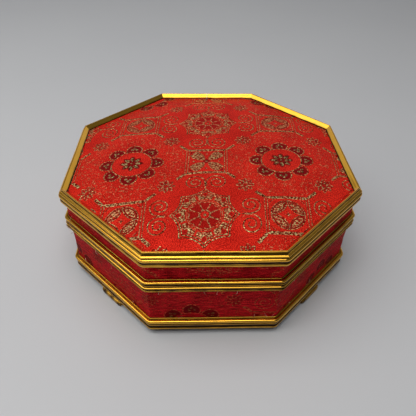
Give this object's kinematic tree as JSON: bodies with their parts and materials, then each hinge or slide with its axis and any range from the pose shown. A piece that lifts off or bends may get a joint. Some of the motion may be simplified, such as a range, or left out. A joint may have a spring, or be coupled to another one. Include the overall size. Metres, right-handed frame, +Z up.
{
  "type": "musical jewelry box",
  "caption": "Low octagonal jewelry box with a lift-off lid, padded brocade panels on the top and sides, pressed brass trim and small brass feet.",
  "frame": {"origin": "middle of the undersides of the four feet, on the surface the box stands on", "axes": "+Z up, -Y out of the front side, +X to the right seen from the front"},
  "size_m": [0.1916, 0.1916, 0.0747],
  "materials": {
    "brocade": "woven red satin brocade with a gold thread pattern",
    "brass_trim": "pressed, polished on the beads and dark in the grooves",
    "board": "thin board, lined with plain dark red cloth"
  },
  "bodies": {
    "root": {"lid_board": "board", "lid_pad": "brocade", "lid_band": "brocade", "lid_top_moulding": "brass_trim", "lid_rim_moulding": "brass_trim", "base_rim_moulding": "brass_trim", "base_board": "board", "base_band": "brocade", "base_bottom_moulding": "brass_trim", "foot_front_left": "brass_trim", "foot_front_right": "brass_trim", "foot_back_left": "brass_trim", "foot_back_right": "brass_trim"}
  },
  "joints": []
}
